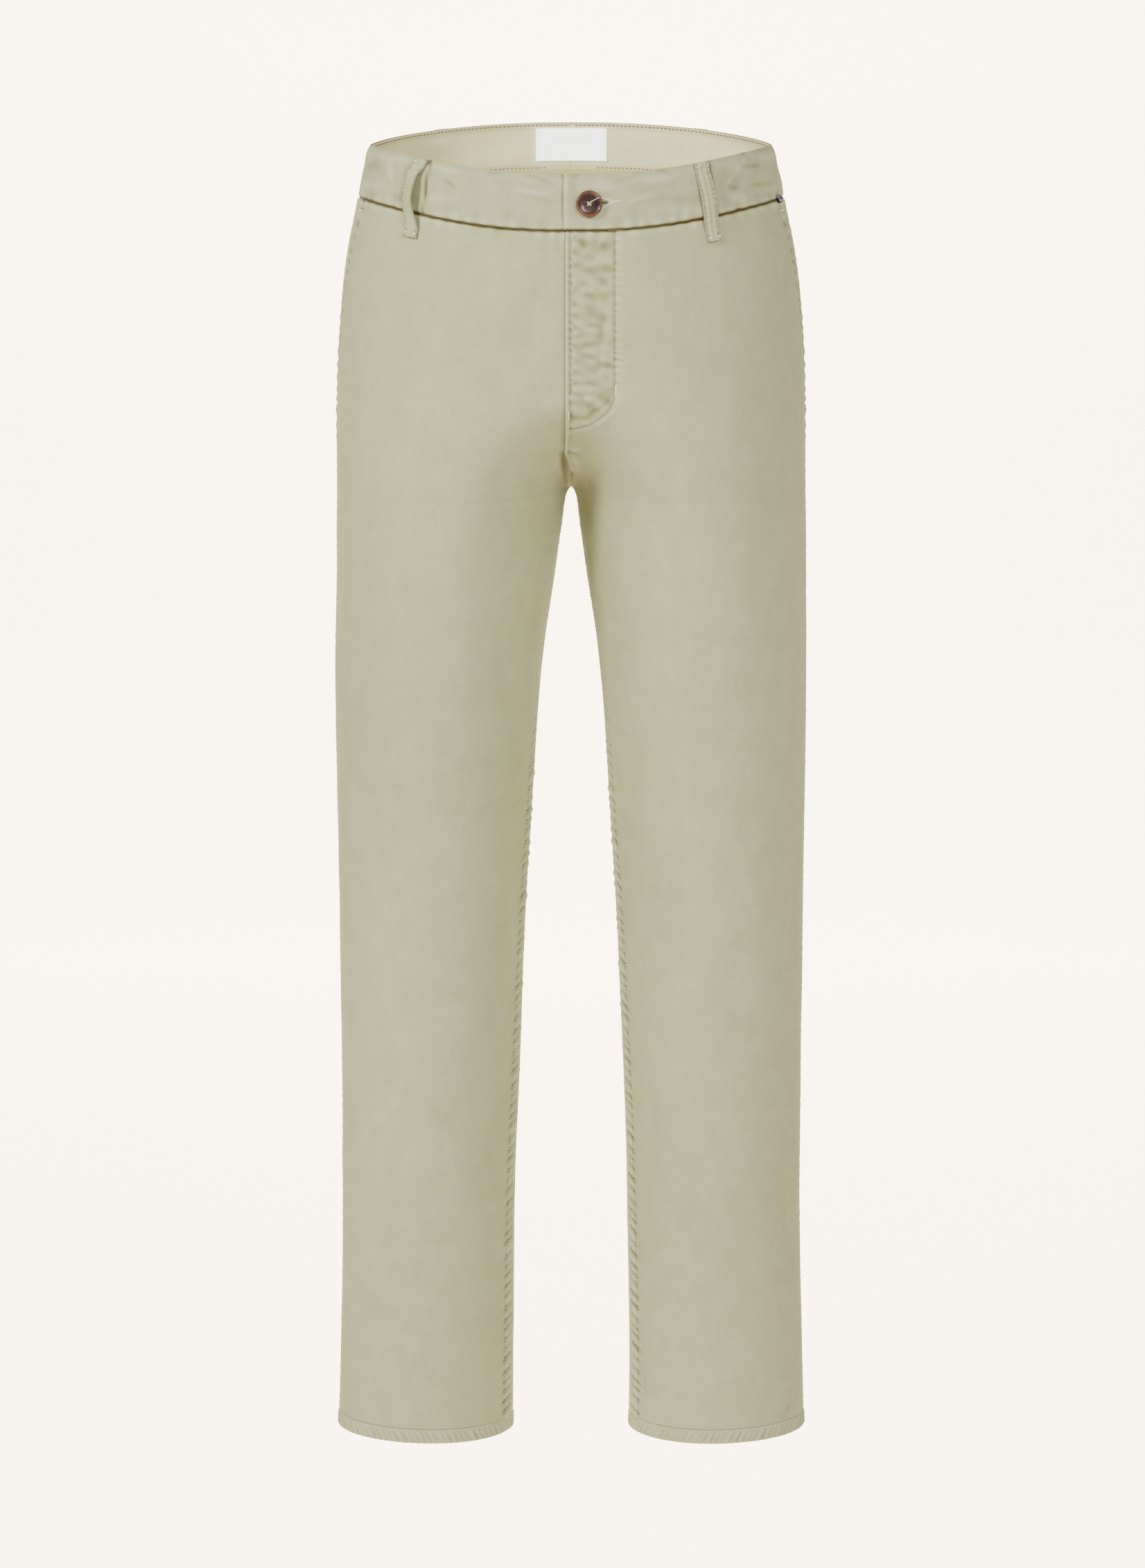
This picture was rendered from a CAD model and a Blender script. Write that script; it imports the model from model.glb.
# The looks of the chino trousers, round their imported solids: smooth twill, filled out as if worn.
# Metres. +Z up, +X to the wearer's left, the front towards -Y, the origin in the middle of the waist.
import itertools
import math
from collections import namedtuple

import bpy
import numpy as np
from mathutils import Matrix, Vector


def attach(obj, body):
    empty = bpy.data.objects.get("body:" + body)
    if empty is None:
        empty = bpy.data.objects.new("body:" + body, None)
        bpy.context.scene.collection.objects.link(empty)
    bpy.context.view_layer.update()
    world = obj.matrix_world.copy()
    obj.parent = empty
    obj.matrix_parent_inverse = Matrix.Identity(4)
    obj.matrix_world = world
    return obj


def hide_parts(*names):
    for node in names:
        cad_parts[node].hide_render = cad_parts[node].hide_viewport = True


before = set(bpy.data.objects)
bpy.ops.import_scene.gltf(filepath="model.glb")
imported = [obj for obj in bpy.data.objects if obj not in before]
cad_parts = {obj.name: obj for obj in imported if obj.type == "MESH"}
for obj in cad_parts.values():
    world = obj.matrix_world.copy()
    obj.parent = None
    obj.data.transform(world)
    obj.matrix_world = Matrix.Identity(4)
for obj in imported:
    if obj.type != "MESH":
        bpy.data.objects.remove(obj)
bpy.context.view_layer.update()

# The camera stands 3 m in front, a little above the waist, and looks down on the knees.
Camera = namedtuple("Camera", "place target lens sensor")
CAMERA = Camera((0.0011, -3.0, 0.060), (0.0011, 0.0, -0.5205), 85, 36)

# Cloth and seams.
CLOTH = 0.0009
SEAM_GAP = 0.0003
INSET = 0.00005

# The form of the solids. Waistband, crotch point, hem, inseam, waist tilt, slanted pocket and fly.
Band = namedtuple("Band", "depth wall lap underlap step step_full step_gone")
BAND = Band(0.0415, 0.0014, 0.006, 0.029, 0.0018, 0.032, 0.062)
Facing = namedtuple("Facing", "wall start underlap top row foot_row")
FACING = Facing(0.001, 0.040, 0.027, -0.0004, 0.0018, 0.0062)
Crotch = namedtuple("Crotch", "z y crown fillet fillet_fade front_rise back_rise")
CROTCH = Crotch(-0.275, 0.008, 0.095, 0.012, 0.100, 0.084, 0.110)
Hem = namedtuple("Hem", "z depth outer_lift side")
HEM = Hem(-1.077, 0.0125, 0.005, 0.1978)
Inseam = namedtuple("Inseam", "forward fade")
INSEAM = Inseam(0.014, 0.150)
Tilt = namedtuple("Tilt", "front front_power back back_power depth flat")
TILT = Tilt(-0.0205, 2.4, 0.016, 1.5, 0.106, -0.225)
Pocket = namedtuple("Pocket", "forward top end least_width stitch")
POCKET = Pocket(0.024, -0.0415, -0.238, 0.002, 0.0065)
Fly = namedtuple("Fly", "lap width top bend bottom end_width low_lap low end")
FLY = Fly(0.0045, 0.035, -0.0425, -0.186, -0.2155, 0.002, 0.0058, -0.236, -0.262)

# Level by level: z at the side seam, half the width there, the depths in front and behind, and how
# far from the middle the front and back are fullest.
Level = namedtuple("Level", "z side front back crown")
LEVELS = [
    Level(0.006, 0.1610, 0.1054, 0.1050, 0.0080),
    Level(0.000, 0.1620, 0.1060, 0.1060, 0.0080),
    Level(-0.042, 0.1704, 0.1098, 0.1120, 0.0100),
    Level(-0.080, 0.1785, 0.1142, 0.1215, 0.0350),
    Level(-0.120, 0.1840, 0.1188, 0.1315, 0.0500),
    Level(-0.170, 0.1881, 0.1218, 0.1375, 0.0660),
    Level(-0.215, 0.1900, 0.1214, 0.1345, 0.0790),
    Level(-0.245, 0.1904, 0.1192, 0.1285, 0.0880),
    Level(-0.275, 0.1907, 0.1156, 0.1210, 0.0950),
    Level(-0.307, 0.1913, 0.1106, 0.1132, 0.1000),
    Level(-0.353, 0.1919, 0.1032, 0.1034, 0.1035),
    Level(-0.400, 0.1925, 0.0962, 0.0948, 0.1065),
    Level(-0.450, 0.1928, 0.0894, 0.0866, 0.1092),
    Level(-0.540, 0.1930, 0.0786, 0.0750, 0.1126),
    Level(-0.630, 0.1922, 0.0704, 0.0668, 0.1150),
    Level(-0.725, 0.1921, 0.0644, 0.0614, 0.1170),
    Level(-0.820, 0.1926, 0.0596, 0.0584, 0.1192),
    Level(-0.920, 0.1938, 0.0548, 0.0560, 0.1209),
    Level(-1.018, 0.1964, 0.0510, 0.0532, 0.1229),
    Level(-1.090, 0.1981, 0.0490, 0.0514, 0.1240),
]

# Half the space between the legs.
Gap = namedtuple("Gap", "z half")
LEG_GAPS = [
    Gap(-0.275, 0), Gap(-0.284, 0.0051), Gap(-0.307, 0.0085), Gap(-0.353, 0.0150), Gap(-0.400, 0.0210),
    Gap(-0.450, 0.0260), Gap(-0.540, 0.0322), Gap(-0.630, 0.0380), Gap(-0.725, 0.0421),
    Gap(-0.820, 0.0458), Gap(-0.920, 0.0479), Gap(-1.018, 0.0493), Gap(-1.090, 0.0497),
]

QUARTER = 120
RIGHT_ANGLE = math.pi / 2
LEFT, RIGHT = 1, -1


def clamp01(t):
    return np.clip(t, 0, 1)


def ease(t):
    c = clamp01(t)
    return c * c * (3 - 2 * c)


def hill(distance, width):
    """A soft bump: 1 in the middle, near 0 from twice its width."""
    return np.exp(-((distance / width) ** 2))


def column(rows, key, z, power=1):
    """A smooth curve through one column of a table, at any height."""
    value = [getattr(row, key) ** power for row in rows]

    def slope(k):
        above, below = max(0, k - 1), min(len(rows) - 1, k + 1)
        return (value[below] - value[above]) / (rows[below].z - rows[above].z)

    i = 0
    while i < len(rows) - 2 and rows[i + 1].z > z:
        i += 1
    run = rows[i + 1].z - rows[i].z
    t = (z - rows[i].z) / run
    starts = value[i] * (2 * t**3 - 3 * t**2 + 1) + slope(i) * run * (t**3 - 2 * t**2 + t)
    ends = value[i + 1] * (3 * t**2 - 2 * t**3) + slope(i + 1) * run * (t**3 - t**2)
    return max(0.0, starts + ends) ** (1 / power)


Outline = namedtuple("Outline", "in_body x y along length side start")
OUTLINES = {}


def outline(z):
    """The left half's outline at a level, from the centre front, or the inner leg, round to the back."""
    if z in OUTLINES:
        return OUTLINES[z]
    in_body = z >= CROTCH.z
    side, crown, front, back = (column(LEVELS, key, z) for key in ("side", "crown", "front", "back"))
    gap = 0.0 if in_body else column(LEG_GAPS, "half", z, 2)
    fillet = CROTCH.fillet * (1 - ease((CROTCH.z - z) / CROTCH.fillet_fade))
    inner, top = math.hypot(gap, fillet), math.hypot(crown, fillet)
    first, second = LEG_GAPS[0], LEG_GAPS[1]
    arch_slope = second.half**2 / (first.z - second.z)

    def climb(rise):
        t = clamp01((z - CROTCH.z) / rise)
        start = arch_slope * rise / (CROTCH.fillet * (CROTCH.crown - CROTCH.fillet))
        return start * t * (1 - t) ** 2 + ease(t)

    def inner_quarter(t, depth, rise):
        turn = np.cos(t * RIGHT_ANGLE)
        reach = top - (top - inner) * turn
        x = np.sqrt(np.maximum(0, reach**2 - fillet**2))
        return x, CROTCH.y + (depth - CROTCH.y) * np.sqrt(1 - (1 - climb(rise)) * turn**2)

    def outer_quarter(t, depth):
        return crown + (side - crown) * np.sin(t * RIGHT_ANGLE), depth * np.cos(t * RIGHT_ANGLE)

    t = np.arange(QUARTER) / QUARTER
    whole = np.arange(QUARTER + 1) / QUARTER
    parts = [
        inner_quarter(t, -front, CROTCH.front_rise),
        outer_quarter(t, -front),
        outer_quarter(1 - t, back),
        inner_quarter(1 - whole, back, CROTCH.back_rise),
    ]
    x, y = (np.concatenate([part[k] for part in parts]) for k in (0, 1))
    along = np.concatenate([[0], np.cumsum(np.hypot(np.diff(x), np.diff(y)))])
    start = 0.0 if in_body else INSEAM.forward * ease((CROTCH.z - z) / INSEAM.fade)
    OUTLINES[z] = Outline(in_body, x, y, along, along[-1], along[2 * QUARTER], start)
    return OUTLINES[z]


def front_length(z):
    """Length of the front at a level, from the middle or the inseam to the side seam."""
    return outline(z).side - outline(z).start


def back_length(z):
    return outline(z).length + outline(z).start - outline(z).side


def on_cloth(z, v):
    """Points at a level: v is 0 at the centre front or the inseam, 1 at the side and 2 at the back."""
    line = outline(z)
    s = np.where(v <= 1, line.start + v * front_length(z), line.side + (v - 1) * back_length(z))
    mirror = 1.0
    if line.in_body:
        mirror = np.where((s < 0) | (s > line.length), -1.0, 1.0)
        s = np.where(s > line.length, 2 * line.length - s, np.abs(s))
    else:
        s = np.mod(s, line.length)
    x = np.interp(s, line.along, line.x)
    y = np.interp(s, line.along, line.y)
    far = np.abs(y) / TILT.depth
    tilt = np.where(y < 0, TILT.front * far**TILT.front_power, TILT.back * far**TILT.back_power)
    waist = tilt * (1 - ease((BAND.depth + z) / (BAND.depth + TILT.flat)))
    hem = HEM.outer_lift * ease((z - CROTCH.z) / (HEM.z - CROTCH.z)) * (x / HEM.side - 0.5)
    return np.stack([mirror * x, y, z + waist + hem], axis=-1)


def graded(*stops):
    """Positions from the first stop to the last. Each stop is (position, the step wanted there)."""
    at, steps = np.array(stops, float).T
    share = np.linspace(0, 1, 4001)
    walk = np.interp(share, np.linspace(0, 1, len(at)), at)
    step = np.interp(share, np.linspace(0, 1, len(at)), steps)
    counted = np.concatenate([[0], np.cumsum(np.abs(np.diff(walk)) * 2 / (step[1:] + step[:-1]))])
    return np.interp(np.linspace(0, counted[-1], max(2, round(counted[-1])) + 1), counted, walk)


class Face:
    """The bare form of a piece of cloth: rows of points by level, columns by place round the body."""

    def __init__(self, levels, places, side=LEFT, ring=False):
        self.levels = np.asarray(levels, float)
        self.side = side
        self.ring = ring
        self.v = np.array([places(z) for z in self.levels])
        self.points = np.array([on_cloth(z, row) for z, row in zip(self.levels, self.v)])
        across = np.gradient(self.points, axis=1)
        if ring:
            across[:, 0] = across[:, -1] = self.points[:, 1] - self.points[:, -2]
        out = np.cross(across, -np.gradient(self.points, axis=0))
        self.out = out / np.linalg.norm(out, axis=2, keepdims=True)
        self.points[..., 0] *= side
        self.out[..., 0] *= side
        front = np.array([front_length(z) for z in self.levels])[:, None]
        back = np.array([back_length(z) for z in self.levels])[:, None]
        self.z = np.repeat(self.levels[:, None], self.v.shape[1], axis=1)
        self.from_middle = np.where(self.v <= 1, self.v * front, (2 - self.v) * back)
        self.from_side = np.where(self.v <= 1, (1 - self.v) * front, (self.v - 1) * back)
        self.across = np.linalg.norm(np.diff(self.points, axis=1), axis=2)
        self.down = np.linalg.norm(np.diff(self.points, axis=0), axis=2)
        rows, columns = self.v.shape
        self.from_start = np.concatenate([np.zeros((rows, 1)), np.cumsum(self.across, axis=1)], axis=1)
        self.from_end = self.from_start[:, -1:] - self.from_start
        self.from_top = np.concatenate([np.zeros((1, columns)), np.cumsum(self.down, axis=0)])
        self.from_bottom = self.from_top[-1:] - self.from_top

    def cut(self):
        """The flat size and area of the cloth that the piece is cut from."""
        width, length = self.from_start[:, -1].max(), self.from_top[-1].max()
        strips = (self.across[1:] + self.across[:-1]) / 2 * (self.down[:, 1:] + self.down[:, :-1]) / 2
        return (float(width), float(length)), float(strips.sum())


def uneven(points, size, seed):
    """A smooth random field from -1 to 1, with hills as large as size, the same in each run."""
    cells = 32
    lattice = np.random.default_rng(seed).uniform(-1, 1, (cells, cells, cells))
    at = points / np.array(size)
    cell = np.floor(at).astype(int)
    t = ease(at - cell)
    total = np.zeros(points.shape[:-1])
    for corner in itertools.product((0, 1), repeat=3):
        weight = np.prod(np.where(corner, t, 1 - t), axis=-1)
        i, j, k = np.moveaxis((cell + corner) % cells, -1, 0)
        total += weight * lattice[i, j, k]
    return total


# Creases, each a soft stroke between two points of the cloth as seen from the front or from behind.
# Across is x. A ridge has a height above 0 and a trough one below.
Crease = namedtuple("Crease", "across0 z0 across1 z1 bow width height")
FRONT_CREASES = [
    Crease(0.0129, -0.2040, 0.0308, -0.1920, 0.002, 0.0022, -0.0015),
    Crease(-0.0005, -0.2060, 0.0180, -0.2110, -0.001, 0.0018, -0.0008),
    Crease(0.0320, -0.1140, 0.0240, -0.1810, 0.001, 0.0030, 0.0008),
    Crease(0.0190, -0.0770, 0.0280, -0.0660, 0.000, 0.0022, 0.0008),
    Crease(0.0060, -0.0700, 0.0120, -0.0780, 0.000, 0.0025, -0.0007),
    Crease(-0.0060, -0.2360, -0.0010, -0.2700, 0.000, 0.0035, -0.0034),
    Crease(-0.0050, -0.2350, 0.0080, -0.2400, 0.001, 0.0016, -0.0012),
    Crease(-0.0040, -0.2320, 0.0100, -0.2340, 0.001, 0.0018, 0.0008),
    Crease(-0.0040, -0.2440, 0.0090, -0.2470, -0.001, 0.0020, 0.0007),
    Crease(0.0067, -0.2780, 0.0230, -0.4000, 0.002, 0.0030, 0.0008),
    Crease(0.0620, -1.0130, 0.0640, -1.0500, 0.001, 0.0030, -0.0008),
    Crease(0.1860, -1.0480, 0.1790, -1.0620, 0.001, 0.0022, -0.0008),
    Crease(-0.0300, -0.0700, -0.0900, -0.0640, 0.003, 0.0060, -0.0010),
    Crease(-0.0130, -0.0800, -0.0500, -0.0950, 0.002, 0.0060, 0.0007),
]
BAND_CREASES = [
    Crease(-0.0060, -0.0330, -0.0360, -0.0220, 0.002, 0.0020, -0.0011),
    Crease(-0.0080, -0.0400, -0.0300, -0.0370, 0.001, 0.0020, 0.0007),
    Crease(-0.0120, -0.0350, -0.0500, -0.0300, -0.002, 0.0024, 0.0009),
    Crease(-0.0540, -0.0200, -0.0760, -0.0230, 0.001, 0.0022, -0.0008),
    Crease(-0.0880, -0.0340, -0.1010, -0.0250, 0.001, 0.0020, -0.0008),
    Crease(-0.1180, -0.0090, -0.1330, -0.0260, 0.002, 0.0022, -0.0009),
    Crease(-0.1440, -0.0080, -0.1380, -0.0330, 0.001, 0.0022, 0.0008),
    Crease(0.0300, -0.0250, 0.0560, -0.0200, 0.002, 0.0022, -0.0009),
    Crease(0.0420, -0.0430, 0.0700, -0.0360, -0.001, 0.0022, 0.0007),
    Crease(0.0640, -0.0150, 0.0820, -0.0210, 0.001, 0.0020, -0.0007),
    Crease(0.1470, 0.0000, 0.1190, -0.0370, 0.002, 0.0013, 0.0007),
    Crease(0.1330, -0.0030, 0.1450, -0.0120, 0.001, 0.0016, -0.0007),
    Crease(0.1310, -0.0150, 0.1510, -0.0140, 0.001, 0.0020, -0.0009),
    Crease(0.1390, -0.0300, 0.1620, -0.0280, 0.001, 0.0024, -0.0010),
    Crease(0.1210, -0.0290, 0.1320, -0.0330, 0.001, 0.0018, -0.0006),
]
BACK_CREASES = [
    Crease(0.0120, -0.2500, 0.1000, -0.2900, -0.012, 0.0080, -0.0016),
    Crease(0.0200, -0.2780, 0.0850, -0.3260, -0.008, 0.0070, -0.0011),
    Crease(0.0250, -0.3100, 0.0700, -0.3500, -0.004, 0.0060, 0.0007),
    Crease(0.0700, -0.5960, 0.1500, -0.6080, 0.006, 0.0060, -0.0009),
    Crease(0.0900, -0.6280, 0.1600, -0.6200, -0.005, 0.0055, -0.0007),
    Crease(0.0600, -0.6600, 0.1100, -0.6760, 0.004, 0.0060, 0.0006),
    Crease(-0.0140, -0.2540, -0.0960, -0.2860, 0.010, 0.0080, -0.0015),
    Crease(-0.0180, -0.2850, -0.0740, -0.3280, 0.007, 0.0070, -0.0010),
    Crease(-0.0720, -0.6040, -0.1450, -0.5960, -0.006, 0.0060, -0.0009),
    Crease(-0.1000, -0.6400, -0.1650, -0.6470, 0.004, 0.0055, -0.0006),
    Crease(-0.0600, -0.6800, -0.1050, -0.6700, -0.004, 0.0060, 0.0006),
]


def creases(face, strokes, facing):
    """What the creases add on the side that faces that way along y."""
    total = np.zeros(face.z.shape)
    seen = ease(2.5 * facing * face.out[..., 1] + 0.5)
    for stroke in strokes:
        start = np.array([stroke.across0, stroke.z0])
        run = np.array([stroke.across1, stroke.z1]) - start
        length = np.hypot(*run)
        here = face.points[..., [0, 2]] - start
        t = here @ run / length**2
        off = (here[..., 0] * run[1] - here[..., 1] * run[0]) / length
        middle = stroke.bow * 4 * t * (1 - t)
        taper = np.sin(np.pi * clamp01(t)) ** 0.7
        total += stroke.height * hill(off - middle, stroke.width) * taper
    return total * seen


def puckers(along, pitch, seed):
    """Small pulls along a seam, as uneven as hand-fed sewing leaves them, from -1 to 1."""
    shifts = np.random.default_rng(seed).uniform(0, 2 * math.pi, 3)
    turn = 2 * math.pi * along / pitch
    wander = 0.9 * np.sin(turn / 5.3 + shifts[0]) + 0.6 * np.sin(turn / 2.7 + shifts[1])
    return np.sin(turn + wander) * (0.75 + 0.25 * np.sin(turn / 3.9 + shifts[2]))


def seam_shade(distance):
    """Darkens the cloth in a seam."""
    return -0.9 * hill(distance, 0.0012)


def seam_edge(distance, along, seed, depth=0.0008, pitch=0.0085):
    """Cloth that turns in at a seam, with a low roll beside it and small pulls along it."""
    turned = -depth * hill(distance, 0.0011)
    roll = 0.00025 * hill(distance - 0.0035, 0.0025)
    return turned + roll + 0.00025 * puckers(along, pitch, seed) * np.exp(-distance / 0.006)


def stitched(distance, depth=0.0003, width=0.0010):
    """The groove that a row of stitches pulls into the cloth."""
    return -depth * hill(distance, width)


def soft_cloth(points):
    """The slight waviness of filled-out twill."""
    broad = 0.0008 * uneven(points, (0.060, 0.060, 0.110), 1)
    return broad + 0.00016 * uneven(points, (0.016, 0.016, 0.028), 2)


# The felled inseam: a raised strip on the front with two rows of stitching, roped by the sewing.
Felled = namedtuple("Felled", "width edge near far beside raise_by rope slant pitch shows full")
FELLED = Felled(
    width=0.0135, edge=0.0016, near=0.0012, far=0.0125, beside=0.016, raise_by=0.0010,
    rope=0.0015, slant=0.45, pitch=0.0093, shows=-0.38, full=-0.56,
)


def felled_strip(face, seed):
    """Where the strip shows, 1 on it and 0 beside it, and its slanted roping from -1 to 1."""
    shown = ease((FELLED.shows - face.z) / (FELLED.shows - FELLED.full))
    strip = ease((FELLED.width - face.from_middle) / FELLED.edge + 0.5)
    rope = puckers(face.z + FELLED.slant * face.from_middle, FELLED.pitch, seed)
    return shown, strip, rope


def felled_inseam(face, seed):
    """The relief of the strip, its roping, the pulls beside it and the grooves of its two rows."""
    shown, strip, rope = felled_strip(face, seed)
    s = face.from_middle
    rows = stitched(s - FELLED.near) + stitched(s - FELLED.far, 0.0010)
    roped = FELLED.rope * rope * strip + 0.0004 * rope * hill(s - FELLED.beside, 0.004)
    return shown * (FELLED.raise_by * strip + roped + rows)


def felled_shade(face, seed):
    """Darkens the hollows of the roped inseam and the line of its far row."""
    shown, strip, rope = felled_strip(face, seed)
    return shown * (0.10 * rope * strip + 0.25 * seam_shade(face.from_middle - FELLED.far))


def lap(z):
    """How far the left front laps over the right one, to the wearer's right of the middle."""
    lower = FLY.lap + (FLY.low_lap - FLY.lap) * ease((FLY.bottom - z) / (FLY.bottom - FLY.low))
    return lower * (1 - ease((FLY.low - z) / (FLY.low - FLY.end)))


def fly_row(face):
    """How far inside the J-shaped stitching of the fly each point is. It's below 0 beyond the row."""
    reach, rise = FLY.width - FLY.end_width, FLY.bend - FLY.bottom
    aside = np.maximum(face.from_middle - FLY.end_width, 0)
    below = np.maximum(FLY.bend - face.z, 0)
    ring = np.hypot(aside / reach, below / rise)
    slope = np.hypot(aside / reach**2, below / rise**2)
    return (1 - ring) * ring / np.maximum(slope, 1)


# Rows of small swellings that the zip and its facing leave in the fly: distance from the middle,
# pitch down the row, half width and height.
Swellings = namedtuple("Swellings", "across pitch wide height seed")
FLY_SWELLINGS = [
    Swellings(0.0020, 0.0107, 0.0056, 0.0009, 11),
    Swellings(0.0150, 0.0112, 0.0052, 0.0008, 12),
    Swellings(0.0262, 0.0150, 0.0044, 0.0006, 13),
]
# How much darker the lap of the fly shows than the front round it.
FLY_SHADE = 0.10


def inside_fly(face):
    """1 on the lap of the fly, inside its J-shaped row, and 0 beyond it."""
    return ease(fly_row(face) / 0.003)


def fly_relief(face):
    """The fly: the lapped edge, the swellings, the J-shaped row and the pulls beside it."""
    s, z = face.from_middle, face.z
    edge = s + np.vectorize(lap)(face.levels)[:, None]
    lapped = 0.0026 * clamp01(1 - (s + 0.002) / 0.032) * ease((z - FLY.end) / 0.010)
    rolled = 0.0011 * hill(edge - 0.0014, 0.0012) - 0.0008 * hill(edge - 0.0040, 0.0013)
    inside = inside_fly(face)
    total = lapped + rolled * ease((z - FLY.end) / 0.010) + 0.0003 * inside
    total += 0.0009 * uneven(face.points, (0.0080, 0.0080, 0.0062), 17) * inside
    wander = 0.0022 * uneven(face.points, (1.0, 1.0, 0.017), 18)
    for row in FLY_SWELLINGS:
        swelling = puckers(z + 0.15 * s, row.pitch, row.seed)
        total += row.height * swelling * hill(s - row.across - wander, row.wide) * inside
    beyond = -fly_row(face)
    total += stitched(beyond + 0.0010, 0.0008, 0.0011) + 0.0006 * hill(beyond - 0.0022, 0.0018)
    strength = 0.5 + 0.5 * uneven(face.points, (0.02, 0.02, 0.016), 16)
    pulls = puckers(z + 0.25 * s, 0.0068, 14) * strength * ease((z - FLY.bend) / 0.02)
    total += 0.00110 * pulls * hill(beyond - 0.0025, 0.0045)
    return total


def pocket_edge(z):
    """Where the slanted pocket mouth lies: in front of the side seam at the top, on it at the end."""
    down = clamp01((POCKET.top - z) / (POCKET.top - POCKET.end))
    forward = POCKET.forward + (POCKET.least_width - POCKET.forward) * down
    return 1 - forward / front_length(z) if z >= POCKET.end else 1.0


def pocket_relief(face):
    """The front's edge at the pocket mouth: a soft fold with a row of stitching inside it."""
    at_pocket = ease((face.z - POCKET.end) / 0.008)
    d = face.from_end
    mouth = 0.0005 * hill(d, 0.004) + stitched(d - POCKET.stitch, 0.0009)
    pulls = 0.0010 * puckers(face.z, 0.0098, 21) * hill(d - POCKET.stitch + 0.002, 0.005)
    seam = seam_edge(d, face.z, 22)
    return at_pocket * (mouth + pulls) + (1 - at_pocket) * seam


def pocket_shade(face):
    """Darkens the pocket's fold and the needle holes of its row of stitching."""
    at_pocket = ease((face.z - POCKET.end) / 0.008)
    return 0.35 * at_pocket * (seam_shade(face.from_end) + seam_shade(face.from_end - POCKET.stitch))


PANEL_TOP = -BAND.depth - 2 * INSET
PANEL_END = HEM.z + HEM.depth
FRONT_LEVELS = graded(
    (PANEL_TOP, 0.0004), (-0.046, 0.0014), (-0.225, 0.0015), (-0.240, 0.0012), (-0.262, 0.0010),
    (-0.290, 0.0010), (-0.330, 0.0022), (-0.480, 0.0019), (-1.040, 0.0017), (PANEL_END, 0.0012),
)
BACK_LEVELS = graded(
    (PANEL_TOP, 0.0004), (-0.046, 0.0018), (-0.225, 0.0022), (-0.262, 0.0012), (-0.290, 0.0012),
    (-0.330, 0.0026), (-1.040, 0.0027), (PANEL_END, 0.0014),
)


def under_band(face, seed):
    """The top of a panel, turned in where the waistband is sewn to it."""
    d = face.from_top
    turned = -0.0011 * hill(d, 0.0012) + 0.00030 * hill(d - 0.0036, 0.0024)
    return turned + 0.00070 * puckers(face.from_middle, 0.0115, seed) * np.exp(-d / 0.009)


def over_hem(face):
    """The panel's end, tucked behind the top of the hem."""
    return -0.0003 * hill(face.from_bottom, 0.0014)


def spread(start, end, near, between, far, fine):
    """Distances from start to end: fine steps near and far, and even ones between, always as many."""
    edge = [0, 0.0003, 0.0005]
    first = start + np.cumsum(np.concatenate([edge, np.full(near, fine)]))
    last = end - np.cumsum(np.concatenate([edge, np.full(far, fine)]))[::-1]
    return np.concatenate([first, np.linspace(first[-1], last[0], between + 2)[1:-1], last])


# How far the edge of the right front is tucked under the left one, and how deep it lies there.
Tuck = namedtuple("Tuck", "width depth")
TUCK = Tuck(0.0012, 0.0011)
# The first of each panel's seeds for its small pulls.
FRONT_SEEDS = {LEFT: 30, RIGHT: 40}
BACK_SEEDS = {LEFT: 50, RIGHT: 60}


def front_panel(side):
    """A front from the middle or the inseam to the side seam or the pocket: its face and its relief."""
    def places(z):
        whole = front_length(z)
        start = -TUCK.width
        if side == LEFT:
            start = min(INSET, -lap(z)) if z > CROTCH.z else INSET
        end = pocket_edge(z) * whole - INSET
        return spread(start, end, 34, 24, 9, 0.00118) / whole

    face = Face(FRONT_LEVELS, places, side)
    seed = FRONT_SEEDS[side]
    below = ease((CROTCH.z + 0.004 - face.z) / 0.03)
    outer = under_band(face, seed) + over_hem(face) + pocket_relief(face)
    outer += creases(face, FRONT_CREASES, -1)
    tucked = 0.0 if side == LEFT else TUCK.width
    beside = np.abs(face.from_start - tucked)
    outer += felled_inseam(face, seed + 1) + below * seam_edge(beside, face.z, seed + 2, 0.0004)
    if side == LEFT:
        outer += fly_relief(face)
    else:
        outer -= TUCK.depth * ease((TUCK.width - face.from_start) / 0.0008 + 0.5)
        above_crotch = ease((face.z - CROTCH.z) / 0.01)
        outer -= 0.0004 * (1 - ease((face.from_middle - 0.002) / 0.010)) * above_crotch
    return face, outer


def back_panel(side):
    """A back from the side seam to the centre back or the inseam: its face and its relief."""
    def places(z):
        whole = back_length(z)
        return 1 + spread(INSET, whole - INSET, 8, 40, 10, 0.0013) / whole

    face = Face(BACK_LEVELS, places, side)
    seed = BACK_SEEDS[side]
    outer = under_band(face, seed) + over_hem(face)
    outer += creases(face, BACK_CREASES, 1)
    outer += seam_edge(face.from_start, face.z, seed + 1)
    outer += seam_edge(face.from_end, face.z, seed + 2, 0.0006)
    return face, outer


# Meshes.
def new_object(name, points, faces, finish, uv=None, rise=None):
    mesh = bpy.data.meshes.new(name)
    mesh.from_pydata(np.asarray(points).tolist(), [], [list(map(int, face)) for face in faces])
    mesh.polygons.foreach_set("use_smooth", [True] * len(mesh.polygons))
    if uv is not None:
        corner = np.zeros(len(mesh.loops), int)
        mesh.loops.foreach_get("vertex_index", corner)
        mesh.uv_layers.new(name="UVMap").data.foreach_set("uv", uv[corner].astype(np.float32).ravel())
    if rise is not None:
        layer = mesh.attributes.new("rise", "FLOAT", "POINT")
        layer.data.foreach_set("value", rise.astype(np.float32).ravel())
    mesh.materials.append(finish)
    made = bpy.data.objects.new(name, mesh)
    bpy.context.scene.collection.objects.link(made)
    return made


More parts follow.
